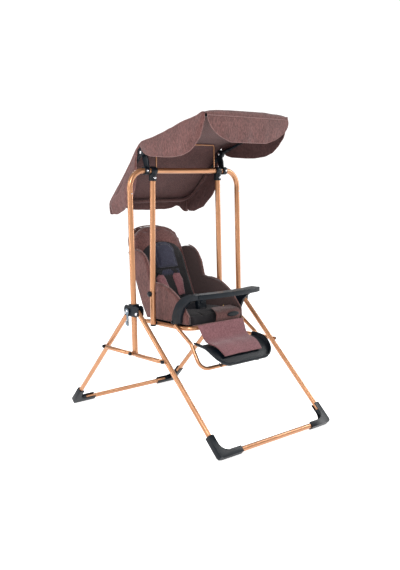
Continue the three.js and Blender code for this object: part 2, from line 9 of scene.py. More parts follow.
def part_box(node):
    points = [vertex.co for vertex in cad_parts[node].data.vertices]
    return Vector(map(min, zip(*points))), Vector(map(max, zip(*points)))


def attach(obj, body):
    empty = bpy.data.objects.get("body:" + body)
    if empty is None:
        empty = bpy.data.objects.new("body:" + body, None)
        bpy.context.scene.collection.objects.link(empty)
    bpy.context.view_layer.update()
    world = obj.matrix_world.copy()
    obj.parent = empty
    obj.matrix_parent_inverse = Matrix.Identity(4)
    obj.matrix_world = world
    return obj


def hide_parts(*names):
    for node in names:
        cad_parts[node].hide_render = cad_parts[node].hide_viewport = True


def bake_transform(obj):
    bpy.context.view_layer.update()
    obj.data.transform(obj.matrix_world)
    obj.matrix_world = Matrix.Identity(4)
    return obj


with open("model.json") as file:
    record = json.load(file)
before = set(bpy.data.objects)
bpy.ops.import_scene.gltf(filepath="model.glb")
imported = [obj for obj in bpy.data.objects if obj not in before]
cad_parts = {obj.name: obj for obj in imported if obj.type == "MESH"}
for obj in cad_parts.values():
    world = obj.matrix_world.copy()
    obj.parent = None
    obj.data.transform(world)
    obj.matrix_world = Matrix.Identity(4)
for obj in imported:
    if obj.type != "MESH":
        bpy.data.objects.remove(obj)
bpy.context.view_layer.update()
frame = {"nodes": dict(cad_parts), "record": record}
scene = bpy.context.scene
sides = {"left": 1, "right": -1}

# The top bar's axis: every Y below is counted from it, in millimetres.
clampLow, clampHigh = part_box("hanger_clamp_left")
barY = (clampLow.y + clampHigh.y) * 500
barZ = 1142


def at(x, y, z):
    return Vector((x, y + barY, z)) / 1000


print("stage: frame loaded")


# A material socket that can be added, scaled and so on like a number.
class Wire:
    def __init__(self, finish, socket):
        self.finish = finish
        self.socket = socket

    def maths(self, operation, *values):
        inputs = dict(enumerate(values))
        return self.finish.node("ShaderNodeMath", {"operation": operation}, inputs)

    def __add__(self, other):
        return self.maths("ADD", self, other)

    def __radd__(self, other):
        return self.maths("ADD", other, self)

    def __sub__(self, other):
        return self.maths("SUBTRACT", self, other)

    def __rsub__(self, other):
        return self.maths("SUBTRACT", other, self)

    def __mul__(self, other):
        return self.maths("MULTIPLY", self, other)

    def __rmul__(self, other):
        return self.maths("MULTIPLY", other, self)

    def __truediv__(self, other):
        return self.maths("DIVIDE", self, other)

    def __pow__(self, other):
        return self.maths("POWER", self, other)

    def __abs__(self):
        return self.maths("ABSOLUTE", self)

    def sine(self):
        return self.maths("SINE", self)

    def most(self, other):
        return self.maths("MAXIMUM", self, other)

    # 0 below start, 1 above end.
    def step(self, start, end):
        settings = {"interpolation_type": "SMOOTHSTEP"}
        inputs = {0: self, 1: start, 2: end, 3: 0.0, 4: 1.0}
        return self.finish.node("ShaderNodeMapRange", settings, inputs)


class Finish:
    def __init__(self, name, **sockets):
        self.material = bpy.data.materials.new(name)
        self.material.use_nodes = True
        self.tree = self.material.node_tree
        self.shader = self.tree.nodes["Principled BSDF"]
        self.place = self.node("ShaderNodeTexCoord", out="Object")
        self.set(**sockets)

    def feed(self, socket, value):
        if isinstance(value, Wire):
            self.tree.links.new(value.socket, socket)
        else:
            socket.default_value = value

    def node(self, kind, settings=None, inputs=None, out=0):
        made = self.tree.nodes.new(kind)
        for key, value in (settings or {}).items():
            setattr(made, key, value)
        for key, value in (inputs or {}).items():
            self.feed(made.inputs[key], value)
        return Wire(self, made.outputs[out])

    # Names are the shader's sockets with the spaces left out.
    def set(self, **sockets):
        named = {socket.name.replace(" ", ""): socket for socket in self.shader.inputs}
        for key, value in sockets.items():
            self.feed(named[key], value)

    def axes(self):
        split = self.node("ShaderNodeSeparateXYZ", None, {0: self.place})
        outputs = split.socket.node.outputs
        return [Wire(self, outputs[i]) for i in range(3)]

    def grain(self, scale, detail=3.0, stretch=(1, 1, 1), roughness=0.5):
        mapped = self.node("ShaderNodeMapping", None, {"Vector": self.place, "Scale": stretch})
        inputs = {"Vector": mapped, "Scale": scale, "Detail": detail, "Roughness": roughness}
        return self.node("ShaderNodeTexNoise", None, inputs)

    def blend(self, factor, first, second):
        inputs = {0: factor, 6: first, 7: second}
        return self.node("ShaderNodeMix", {"data_type": "RGBA"}, inputs, out=2)

    def bump(self, height, strength, distance):
        inputs = {"Strength": strength, "Distance": distance, "Height": height}
        return self.node("ShaderNodeBump", None, inputs)


def shade(red, green, blue):
    # An sRGB colour, 0 to 255, as the linear colour a shader takes.
    return tuple((c / 255) ** 2.2 for c in (red, green, blue)) + (1.0,)


# Copper-coloured metallic lacquer: fine flake, and a slightly duller, darker tone where hands and joints rub.
copperLook = {"tone": (182, 130, 94), "deep": (146, 98, 68), "metallic": 0.8, "roughness": 0.3}


def copperFinish():
    look = copperLook
    finish = Finish("copper lacquer", Metallic=look["metallic"], CoatWeight=0.35, CoatRoughness=0.12)
    flake = finish.grain(1600, 2)
    rub = finish.grain(9, 4, roughness=0.6).step(0.42, 0.72)
    tone = finish.blend(rub * 0.3, shade(*look["tone"]), shade(*look["deep"]))
    sparkle = finish.blend(flake.step(0.5, 0.8) * 0.12, tone, shade(236, 196, 158))
    finish.set(BaseColor=sparkle, Roughness=look["roughness"] + rub * 0.08 + flake * 0.03,
        Normal=finish.bump(flake, 0.02, 0.0001))
    return finish.material


# Injection-moulded plastic with a fine spark-eroded texture.
plasticLook = {"tone": (17, 23, 29), "worn": (27, 35, 42), "roughness": 0.36}


def plasticFinish():
    look = plasticLook
    finish = Finish("slate moulded plastic", SpecularIORLevel=0.22)
    texture = finish.grain(900, 2)
    cloud = finish.grain(14, 3)
    tone = finish.blend(cloud.step(0.4, 0.75) * 0.4, shade(*look["tone"]), shade(*look["worn"]))
    finish.set(BaseColor=tone, Roughness=look["roughness"] + (cloud - 0.5) * 0.15,
        Normal=finish.bump(texture, 0.16, 0.0003))
    return finish.material


def platedFinish(name, tone, roughness):
    finish = Finish(name, Metallic=1.0)
    brushed = finish.grain(260, 3, stretch=(1, 7, 1))
    finish.set(BaseColor=finish.blend(brushed * 0.3, shade(*tone), shade(*[c * 0.72 for c in tone])),
        Roughness=roughness + brushed * 0.12, Normal=finish.bump(brushed, 0.05, 0.0002))
    return finish.material


# Heathered canvas: a plain weave of light and dark yarns. The mask, where given, turns it into another cloth.
canvasLook = {"yarn": 0.0016, "streak": 210, "bump": 0.0005}


def canvasFinish(name, light, dark, other=None, mask=None, sheen=0.25):
    finish = Finish(name, SheenWeight=sheen, SheenRoughness=0.5, SpecularIORLevel=0.25)
    x, y, z = finish.axes()
    turns = 2 * math.pi / canvasLook["yarn"]
    warp = ((x + y * 0.35) * turns).sine()
    weft = ((z + y * 0.6) * turns).sine()
    weave = warp * weft
    slub = finish.grain(canvasLook["streak"], 4, stretch=(1, 1, 0.35), roughness=0.7)
    cloud = finish.grain(11, 3)
    heather = (slub.step(0.3, 0.72) * 0.8 + cloud.step(0.35, 0.7) * 0.2)
    tone = finish.blend(heather, shade(*dark), shade(*light))
    rough = 0.86 + weave * 0.05
    if other:
        shown = mask(x * 1000, y * 1000 - barY, z * 1000)
        lining = finish.blend(slub.step(0.35, 0.65), shade(*[c * 0.82 for c in other]), shade(*other))
        tone = finish.blend(shown, tone, lining)
    finish.set(BaseColor=tone, Roughness=rough,
        Normal=finish.bump(weave * 0.35 + slub, 0.45, canvasLook["bump"]))
    return finish.material


mauve = {"light": (114, 76, 73), "dark": (62, 38, 36)}
rose = {"light": (138, 93, 97), "dark": (98, 63, 67)}
blackTone = (27, 25, 28)
wingInnerTone = (66, 48, 47)

# The reclined back: u runs up it and n forward of it, from the hinge line where it meets the seat.
backHinge = (110, 470)
backAngle = math.radians(23)


def onBack(x, u, n):
    y = backHinge[0] + u * math.sin(backAngle) - n * math.cos(backAngle)
    return at(x, y, backHinge[1] + u * math.cos(backAngle) + n * math.sin(backAngle))


# 1 on the recessed dark panel of the back pad, 0 on its border.
def backPanelMask(x, y, z):
    up = (y - backHinge[0]) * math.sin(backAngle) + (z - backHinge[1]) * math.cos(backAngle)
    above = (up - 268).most(0) / 76
    across = abs(x) / 127
    return 1 - (above * above + across * across).step(0.97, 1.02)


# 1 on the inner, darker face of a side wing.
def wingMask(x, y, z):
    return 1 - abs(x).step(159.5, 161)


def fabricFinishes():
    made = {
        "canopy": canvasFinish("mauve canopy canvas", **mauve),
        "canopyInside": canvasFinish("brown canopy lining", (96, 68, 66), (66, 46, 46), sheen=0.1),
        "cover": canvasFinish("mauve seat canvas", **mauve),
        "backPad": canvasFinish("seat canvas with dark panel", **mauve, other=blackTone, mask=backPanelMask),
        "wing": canvasFinish("seat canvas with dark inner face", **mauve, other=wingInnerTone, mask=wingMask),
        "pad": canvasFinish("rose pad canvas", **rose),
        "legRest": canvasFinish("rose leg rest canvas", **rose),
        "seatLining": canvasFinish("black seat lining", (40, 37, 40), (24, 22, 25), sheen=0.1),
        "head": canvasFinish("navy headrest knit", (58, 58, 74), (38, 38, 52)),
        # The piping is a real cord, but its tone is lighter than the canvas it trims: a painted highlight
        # along the seams.
        "piping": canvasFinish("mauve piping", (132, 96, 92), (92, 63, 61)),
        "webbing": canvasFinish("black webbing", (34, 33, 38), (18, 18, 22), sheen=0.1),
    }
    return made


finishes = {
    "copper": copperFinish(),
    "plastic": plasticFinish(),
    "chrome": platedFinish("bright chrome plate", (214, 214, 218), 0.14),
    "zinc": platedFinish("blue zinc plate", (120, 134, 146), 0.32),
    "brass": platedFinish("brass snap", (212, 176, 112), 0.22),
    **fabricFinishes(),
}
print("stage: finishes made")


# Mesh helpers.
def makePiece(name, points, faces):
    mesh = bpy.data.meshes.new(name)
    mesh.from_pydata(points, [], faces)
    mesh.validate()
    made = bpy.data.objects.new(name, mesh)
    scene.collection.objects.link(made)
    return made


def smoothLine(stations, steps):
    # Extra points on a smooth curve through the given ones.
    line = [Vector(station) for station in stations]
    made = []
    for i in range(len(line) - 1):
        before = line[i - 1] if i else line[0] * 2 - line[1]
        after = line[i + 2] if i + 2 < len(line) else line[-1] * 2 - line[-2]
        for k in range(steps):
            t = k / steps
            first = (line[i + 1] - before) * 0.5
            second = (after - line[i]) * 0.5
            lead = line[i] * (2 * t ** 3 - 3 * t ** 2 + 1) + line[i + 1] * (3 * t ** 2 - 2 * t ** 3)
            made.append(lead + first * (t ** 3 - 2 * t ** 2 + t) + second * (t ** 3 - t ** 2))
    made.append(line[-1])
    return made


def bentLine(corners, bend, steps=9):
    # Straight stretches with a round bend at each inner corner.
    line = [corners[0]]
    for before, corner, after in zip(corners, corners[1:-1], corners[2:]):
        back = (before - corner).normalized()
        ahead = (after - corner).normalized()
        half = back.angle(ahead) / 2
        centre = corner + (back + ahead).normalized() * (bend / math.sin(half))
        start = corner + back * (bend / math.tan(half)) - centre
        end = corner + ahead * (bend / math.tan(half)) - centre
        turn = start.rotation_difference(end)
        axis, sweep = turn.to_axis_angle()
        line += [centre + Matrix.Rotation(sweep * k / steps, 3, axis) @ start for k in range(steps + 1)]
    return line + [corners[-1]]


def ringFaces(rings, sidesCount, closed=False):
    faces = []
    for r in range(rings - 1 + closed):
        for c in range(sidesCount):
            d = (c + 1) % sidesCount
            low, high = r * sidesCount, (r + 1) % rings * sidesCount
            faces.append((low + c, low + d, high + d, high + c))
    return faces


def loft(name, rings, capped=True):
    count = len(rings[0])
    points = [point for ring in rings for point in ring]
    faces = ringFaces(len(rings), count)
    if capped:
        faces.append(tuple(reversed(range(count))))
        faces.append(tuple(range(len(points) - count, len(points))))
    made = makePiece(name, points, faces)
    return facingOut(made)


def facingOut(made):
    shape = bmesh.new()
    shape.from_mesh(made.data)
    bmesh.ops.remove_doubles(shape, verts=shape.verts, dist=1e-6)
    bmesh.ops.recalc_face_normals(shape, faces=shape.faces)
    shape.to_mesh(made.data)
    shape.free()
    return made


def frames(line):
    # A pair of directions across the line at each point, carried along without twist.
    made = []
    side = None
    for i, point in enumerate(line):
        ahead = (line[min(i + 1, len(line) - 1)] - line[max(i - 1, 0)]).normalized()
        if side is None:
            guide = Vector((1, 0, 0)) if abs(ahead.x) < 0.8 else Vector((0, 1, 0))
            side = (guide - ahead * guide.dot(ahead)).normalized()
        side = (side - ahead * side.dot(ahead)).normalized()
        made.append((side, ahead.cross(side)))
    return made


def tube(name, line, radius, count=28):
    rings = []
    for point, (side, other) in zip(line, frames(line)):
        rings.append([point + (side * math.cos(a) + other * math.sin(a)) * radius
            for a in (2 * math.pi * k / count for k in range(count))])
    return loft(name, rings)


def strap(name, line, across, width, thickness=0.0018):
    # A flat band: across is the direction of its width at each point.
    rings = []
    for i, (point, wide) in enumerate(zip(line, across)):
        ahead = (line[min(i + 1, len(line) - 1)] - line[max(i - 1, 0)]).normalized()
        side = (wide - ahead * wide.dot(ahead)).normalized() * (width / 2)
        up = ahead.cross(side).normalized() * (thickness / 2)
        rings.append([point + side + up, point + side * 1.03, point + side - up, point - side - up,
            point - side * 1.03, point - side + up])
    return loft(name, rings)


def bake(made):
    graph = bpy.context.evaluated_depsgraph_get()
    mesh = bpy.data.meshes.new_from_object(made.evaluated_get(graph))
    made.modifiers.clear()
    old = made.data
    made.data = mesh
    bpy.data.meshes.remove(old)
    return made


def gridPiece(name, grid):
    across = len(grid[0])
    faces = []
    for r in range(len(grid) - 1):
        for c in range(across - 1):
            low = r * across + c
            faces.append((low, low + 1, low + across + 1, low + across))
    return makePiece(name, [point for row in grid for point in row], faces)


def thickened(made, thickness, offset=-1):
    thick = made.modifiers.new("thickness", "SOLIDIFY")
    thick.thickness = thickness / 1000
    thick.offset = offset
    return bake(made)


def rounded(made, width, segments=2, angle=28):
    edge = made.modifiers.new("edge", "BEVEL")
    edge.width = width / 1000
    edge.segments = segments
    edge.limit_method = "ANGLE"
    edge.angle_limit = math.radians(angle)
    return bake(made)


def subdivided(made, levels=1):
    finer = made.modifiers.new("finer", "SUBSURF")
    finer.levels = levels
    finer.render_levels = levels
    return bake(made)


def dress(made, finish, body, *nodes, sharp=40, slot=None):
    made.data.materials.clear()
    made.data.materials.append(finishes[finish])
    made.data.shade_smooth()
    if sharp:
        made.data.set_sharp_from_angle(angle=math.radians(sharp))
    if body:
        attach(made, body)
    if nodes:
        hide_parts(*nodes)
    return made


def copyOf(node, name):
    made = bpy.data.objects.new(name, frame["nodes"][node].data.copy())
    scene.collection.objects.link(made)
    made.data.materials.clear()
    return facingOut(made)


def crisp(node, finish, body, width=0.9, segments=2):
    # A hard part with its edges rounded, as a mould or press leaves them.
    made = rounded(copyOf(node, node + "_fine"), width, segments)
    return dress(made, finish, body, node, sharp=32)


print("stage: helpers ready")


# The stand's tubes.
standTubes = {
    "postX": 325, "postRadius": 12.5, "capRadius": 12.9, "postBend": 75, "postJoint": 1058, "postFoot": 334,
    "lean": 17.2 / 799, "legRadius": 11, "footRadius": 13, "legBend": 38,
    "frontFoot": (329, -568), "rearFoot": (319, 497), "floor": 17, "footReach": 0.062,
    "pivotZ": 523, "pivotOffset": 37, "linkX": 348, "linkZ": 343, "frontLink": -235, "rearLink": 191,
}


def postY(z):
    return (z - barZ) * standTubes["lean"]


def standFrame():
    s = standTubes
    legTop = [at(side * s["postX"], postY(s["postJoint"]), s["postJoint"] + 0.4) for side in (-1, 1)]
    corner = [at(side * s["postX"], 0, barZ) for side in (-1, 1)]
    line = bentLine([legTop[0], *corner, legTop[1]], s["postBend"] / 1000, 14)
    dress(tube("top_bar", line, s["postRadius"] / 1000), "copper", "stand", "top_bar_tube")
    for side, sign in sides.items():
        ends = [at(sign * s["postX"], postY(z), z) for z in (s["postJoint"], s["postFoot"])]
        dress(tube("post_" + side, ends, s["postRadius"] / 1000), "copper", "stand", "post_tube_" + side)
        # A thin sleeve where the top bar plugs in, and a cap in the post's foot.
        rings = (("post_sleeve_", s["postJoint"], 1.6, "copper"), ("post_cap_", s["postFoot"], 3, "plastic"))
        for name, z, half, finish in rings:
            line = [at(sign * s["postX"], postY(z + d), z + d) for d in (-half, half)]
            dress(rounded(tube(name + side, line, s["capRadius"] / 1000), 0.6), finish, "stand")
    for end, body in ((-1, "front_legs"), (1, "rear_legs")):
        name = "front" if end < 0 else "rear"
        footX, footY = s[name + "Foot"]
        pivotY = postY(s["pivotZ"]) + end * s["pivotOffset"]
        corners = []
        for sign in (1, -1):
            hinge = at(sign * s["postX"], pivotY, s["pivotZ"])
            foot = at(sign * footX, footY, s["floor"])
            top = hinge - (foot - hinge).normalized() * 0.012
            corners += [top, foot] if sign > 0 else [foot, top]
        line = bentLine(corners, s["legBend"] / 1000)
        dress(tube(name + "_leg_frame", line, s["legRadius"] / 1000), "copper", body, name + "_leg_tube")
        # The foot's moulding carries on round the inside of the tube's bend.
        for side, sign in sides.items():
            foot, top = at(sign * footX, footY, s["floor"]), at(sign * s["postX"], pivotY, s["pivotZ"])
            reach = s["footReach"]
            ends = [foot + (top - foot).normalized() * reach, foot, foot - Vector((sign * reach, 0, 0))]
            bend = bentLine(ends, s["legBend"] / 1000)
            inner = tube(f"{name}_foot_inner_{side}", bend, s["footRadius"] / 1000, 24)
            dress(rounded(inner, 1), "plastic", body)


def linkTube(end, side, sign):
    # A strut whose ends are pressed flat round the bolts.
    s = standTubes
    name = "front" if end < 0 else "rear"
    nearY, farY = postY(s["linkZ"]), s[name + "Link"]
    nearX = s["linkX"] - (6.6 if end < 0 else 1.4)
    farX = s["linkX"] - 6.6
    # Each row: distance from the bolt, half thickness, half height.
    pressed = [(-9.5, 1.6, 3), (-8, 2.3, 6), (-4.5, 2.4, 8.6), (0, 2.4, 9.5)]
    press = [(0, 2.4, 9.5), (2, 3.0, 9.5), (5, 7.0, 9.5), (9, 9.5, 9.5)]
    length = abs(farY - nearY)

    def pressedEnd(flatTo, x):
        rows = [(d, h, v, x) for d, h, v in pressed]
        return rows + [(flatTo + d, h, v, x + (s["linkX"] - x) * min(d / 9, 1)) for d, h, v in press]

    stations = pressedEnd(32, nearX)
    stations += [(length - d, h, v, x) for d, h, v, x in reversed(pressedEnd(13, farX))]
    rings = []
    for d, h, v, x in stations:
        centre = at(sign * x, nearY + end * d, s["linkZ"])
        rings.append([centre + Vector((h * math.cos(a), 0, v * math.sin(a))) / 1000
            for a in (2 * math.pi * k / 24 for k in range(24))])
    node = name + "_link_" + side
    return dress(loft(node + "_fine", rings), "copper", name + "_links", node, sharp=50)


def standFittings():
    for side, sign in sides.items():
        linkTube(-1, side, sign)
        linkTube(1, side, sign)
        crisp("hub_" + side, "plastic", "hubs", 1.4, 3)
        crisp("lock_lever_" + side, "zinc", "lever_" + side, 1.0)
        crisp("post_snap_button_" + side, "chrome", "snap_" + side, 0.7)
        crisp("centre_pivot_knob_" + side, "plastic", "stand", 1.0)
        crisp("canopy_bracket_" + side, "plastic", "stand", 1.3, 3)
        crisp("canopy_rivet_" + side, "chrome", "canopy", 0.8)
        crisp("canopy_head_" + side, "plastic", "canopy", 1.0)
        crisp("hanger_clamp_" + side, "plastic", "swing_seat", 1.5, 3)
        crisp("hanger_knob_" + side, "plastic", "swing_seat", 1.0)
        crisp("seat_washer_" + side, "plastic", "swing_seat", 0.8)
        for name in ("front", "rear"):
            crisp(name + "_foot_" + side, "plastic", name + "_legs", 2.2, 3)
            crisp(name + "_link_knob_" + side, "plastic", name + "_links", 1.0)


def button(name, centre, axis, radius, height, finish, body):
    # A domed fastener head standing on a surface, its axis pointing out.
    axis = Vector(axis).normalized()
    side = axis.orthogonal().normalized()
    other = axis.cross(side)
    profile = [(1, 0), (1, 0.3), (0.88, 0.62), (0.62, 0.86), (0.3, 0.98), (0.02, 1)]
    rings = []
    for r, h in profile:
        middle = centre + axis * (height * h / 1000)
        rings.append([middle + (side * math.cos(a) + other * math.sin(a)) * (radius * r / 1000)
            for a in (2 * math.pi * k / 20 for k in range(20))])
    return dress(loft(name, rings), finish, body, sharp=50)


def standDetails():
    s = standTubes
    for side, sign in sides.items():
        y = postY(539)
        for end, name in ((-1, "front"), (1, "rear")):
            centre = at(sign * (s["postX"] + 17), postY(s["pivotZ"]) + end * s["pivotOffset"], s["pivotZ"])
            button("hub_rivet_" + name + "_" + side, centre, (sign, 0, 0), 7.5, 3.4, "chrome", "hubs")
        centre = at(sign * (s["postX"] + 25.4), y + 18, 531)
        button("lever_rivet_" + side, centre, (sign, 0, 0), 5.5, 2.4, "chrome", "hubs")
        for step, y in ((0, -13.5), (1, 13.5)):
            centre = at(sign * 196 + sign * 1, y * 1.22, 1111)
            button(f"clamp_bolt_{side}_{step}", centre, (0, y, 0), 6, 3, "chrome", "swing_seat")
        button("bracket_bolt_" + side, at(sign * 238, -18, barZ + 1), (0, -1, 0), 5.5, 3, "chrome", "stand")


standFrame()
standFittings()
standDetails()
print("stage: stand made")


# The canopy: one cloth, its roof line from the front edge back over the ridge to the rear hem.
canopyShape = {
    "half": 249, "rearHalf": 238, "corner": 9, "cornerFrom": 168, "thickness": 1.5,
    # The cut cloth's width in metres, and its length over what the shaped edges leave.
    "cut": 0.92, "waste": 1.12,
    "roof": [
        (-399, 1378), (-385, 1381), (-345, 1366), (-270, 1343), (-140, 1304), (-20, 1276), (14, 1267),
        (40, 1246), (70, 1210), (130, 1143), (200, 1074), (258, 1016), (270, 1000), (271, 985), (266, 966)],
    "valance": [
        (-403, 1366, 236), (-408, 1342, 238), (-409, 1318, 228), (-407, 1296, 207), (-405, 1276, 174),
        (-403, 1262, 138), (-402, 1252, 104)],
    "rearHem": [(0, 958), (90, 960), (130, 966), (165, 978), (185, 972), (205, 954), (222, 947), (240, 950)],
    "frontHem": [
        (-394, 1338), (-374, 1278), (-343, 1244), (-307, 1217), (-263, 1202), (-200, 1196), (-146, 1197),
        (-90, 1201), (-45, 1204), (-12, 1213), (12, 1230), (26, 1254)],
    "sideHem": [
        (44, 1236), (47, 1200), (50, 1119), (61, 1074), (86, 1027), (149, 969), (215, 945), (255, 946),
        (268, 972)],
}


def hemAt(y, hem):
    # The height of a hem's lower edge at a Y.
    for (y0, z0), (y1, z1) in zip(hem, hem[1:]):
        if y0 <= y <= y1:
            return z0 + (z1 - z0) * (y - y0) / (y1 - y0)
    return None


def canopyCloth():
    shape = canopyShape
    roof = smoothLine([(y, z, 0) for y, z in shape["roof"]], 7)
    valance = smoothLine(shape["valance"], 4)
    across = 44
    flapSteps = 12
    grid = {}

    def crown(x, y):
        corner = min(max((abs(x) - shape["cornerFrom"]) / (shape["half"] - shape["cornerFrom"]), 0), 1)
        front = min(max((-250 - y) / 110, 0), 1)
        drop = -5 * (x / shape["half"]) ** 2 - shape["corner"] * front * corner ** 2
        # The cloth hangs a little between the bows, and less towards its edges.
        open_ = 1 - (x / shape["half"]) ** 2
        sag = 0
        if -380 < y < 0:
            sag = 9 * math.sin(math.pi * (y + 380) / 380)
        if 40 < y < 250:
            sag = 7 * math.sin(math.pi * (y - 40) / 210)
        return drop - sag * open_

    def wrinkle(x, y, z, amount):
        spot = Vector((x * 0.012, y * 0.02, z * 0.02))
        return amount * noise.noise(spot) + amount * 0.4 * noise.noise(spot * 2.7)

    def put(row, column, x, y, z):
        grid[(row, column)] = at(x, y, z)

    for row, (y, z, _) in enumerate(roof):
        ease = min(max((y - 60) / 200, 0), 1)
        half = shape["half"] - (shape["half"] - shape["rearHalf"]) * ease
        half -= 3 * min(max((-372 - y) / 27, 0), 1) ** 2
        below = min(max((1000 - z) / 34, 0), 1) if y > 200 else 0
        for column in range(across + 1):
            x = half * (2 * column / across - 1)
            lift = wrinkle(x, y, z, 2.2)
            down = (z - 1000) + below * (1000 - hemAt(min(abs(x), 239), shape["rearHem"])) if below else 0
            put(row, column, x, y, z + crown(x, y) + lift - down)
        edge = z + crown(half, y)
        front = hemAt(y, shape["frontHem"])
        rear = hemAt(y, shape["sideHem"])
        hem = front if front is not None else rear
        depth = max(edge - hem, 6) if hem is not None else 6
        if below:
            continue
        if y < -394:
            depth = 4
        for step in range(1, flapSteps + 1):
            t = step / flapSteps
            for sign, column in ((-1, -step), (1, across + step)):
                bulge = 5 * math.sin(math.pi * min(t * 1.1, 1)) * min(depth / 60, 1)
                ripple = wrinkle(sign * 400, y * 1.6, 0, 3.2) * t
                put(row, column, sign * (half + bulge - 3 * t * t + ripple), y, edge - depth * t)
    for row, (y, z, half) in enumerate(valance, 1):
        for column in range(across + 1):
            x = half * (2 * column / across - 1)
            t = row / len(valance)
            out = 5 * math.sin(math.pi * t) * (1 - (x / shape["half"]) ** 2)
            put(-row, column, x, y - out + wrinkle(x * 1.5, 0, 0, 3.0) * t, z)
    index = {key: i for i, key in enumerate(grid)}
    faces = []
    rows = range(-len(valance), len(roof) - 1)
    for row in rows:
        columns = range(-flapSteps, across + flapSteps) if row >= 0 else range(across)
        for column in columns:
            keys = [(row, column), (row, column + 1), (row + 1, column + 1), (row + 1, column)]
            if all(key in index for key in keys):
                faces.append(tuple(index[key] for key in keys))
    cloth = makePiece("canopy_sheet", list(grid.values()), faces)
    cloth.data.materials.append(finishes["canopy"])
    cloth.data.materials.append(finishes["canopyInside"])
    return cloth, grid, across, flapSteps, len(roof), len(valance)


def canopyHem(name, line, radius=0.0016):
    return dress(tube(name, line, radius, 8), "piping", "canopy")


def makeCanopy():
    shape = canopyShape
    cloth, grid, across, flapSteps, roofRows, valanceRows = canopyCloth()
    thick = cloth.modifiers.new("thickness", "SOLIDIFY")
    thick.thickness = shape["thickness"] / 1000
    thick.offset = -1
    thick.material_offset = 1
    thick.material_offset_rim = 0
    bake(cloth)
    cloth.data.shade_smooth()
    cloth.data.set_sharp_from_angle(angle=math.radians(60))
    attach(cloth, "canopy")
    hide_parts("canopy_cloth")
    lift = Vector((0, -0.001, 0.0012))
    # Piping in the seam where the valance hangs from the roof, and down the roof's two edges.
    seam = [grid[(-3, column)] + lift for column in range(across + 1)]
    canopyHem("canopy_front_piping", seam, 0.0022)
    for side, sign in sides.items():
        column = across if sign > 0 else 0
        edge = [grid[(row, column)] + Vector((sign * 0.0012, 0, 0.0008)) for row in range(3, roofRows)]
        canopyHem("canopy_edge_piping_" + side, edge, 0.002)
        outer = across + flapSteps if sign > 0 else -flapSteps
        hem = [grid[(row, outer)] for row in range(2, roofRows) if (row, outer) in grid]
        hem = [point + Vector((0, 0, 0.0004)) for point in hem]
        canopyHem("canopy_side_hem_" + side, hem, 0.0015)
    lower = [grid[(-valanceRows, column)] for column in range(across + 1)]
    left = [grid[(-row, across)] for row in range(1, valanceRows + 1)]
    right = [grid[(-row, 0)] for row in range(1, valanceRows + 1)]
    canopyHem("canopy_valance_hem", right + lower[1:-1] + left[::-1], 0.0015)
    rear = [grid[(roofRows - 1, column)] for column in range(across + 1)]
    canopyHem("canopy_rear_hem", rear, 0.0015)


bows = {"radius": 6, "frontTip": (-383, 1357), "rearTip": (247, 1001), "x": 238, "pivot": (20, 1222),
    "wireX": 175, "wireTop": 1261, "wireFoot": 1154.9}


def onBow(which, sign, distance):
    y, z = bows["pivot"]
    tipY, tipZ = bows[which + "Tip"]
    ahead = Vector((0, tipY - y, tipZ - z)).normalized()
    return at(sign * bows["x"], y, z) + ahead * (distance / 1000)


def makeBows():
    for which, bend in (("front", 16), ("rear", 70)):
        tip = [at(sign * bows["x"], *bows[which + "Tip"]) for sign in (1, -1)]
        line = bentLine([onBow(which, 1, 24), tip[0], tip[1], onBow(which, -1, 24)], bend / 1000)
        made = tube("canopy_" + which + "_bow_bar", line, bows["radius"] / 1000, 20)
        dress(made, "plastic", "canopy", "canopy_" + which + "_bow")
    foot, top = bows["wireFoot"], bows["wireTop"]
    wire = ((-1, foot), (-1, top), (1, top), (1, foot))
    line = bentLine([at(sign * bows["wireX"], 0, z) for sign, z in wire], 0.009)
    dress(tube("canopy_wire_bow", line, 0.003, 14), "copper", "stand", "support_wire_bow")
    for side, sign in sides.items():
        # The moulded elbow over each front corner of the bow.
        tip = at(sign * bows["x"], *bows["frontTip"])
        back = (onBow("front", sign, 200) - tip).normalized()
        line = bentLine([tip + back * 0.044, tip, tip - Vector((sign * 0.036, 0, 0))], 0.016, 7)
        dress(rounded(tube("canopy_elbow_" + side, line, 0.0069, 20), 0.8), "plastic", "canopy")
    # The pocket sewn round the rear bow, inside the cloth.
    tip = [at(sign * bows["x"], *bows["rearTip"]) for sign in (1, -1)]
    line = bentLine([onBow("rear", 1, 120), tip[0], tip[1], onBow("rear", -1, 120)], 0.07, 12)
    dress(tube("canopy_rear_pocket", line, 0.0085, 16), "canopyInside", "canopy")


makeCanopy()
makeBows()
print("stage: canopy made")


# The hanging seat's metal.
seatFrame = {
    "hangerTop": 196, "hangerTopZ": 1124, "hangerLow": 207.5, "knee": 600, "end": 450, "radius": 12.5,
    "railX": 180, "railZ": 455, "railFront": -212, "railBack": 92, "railRadius": 10, "railBend": 55,
}


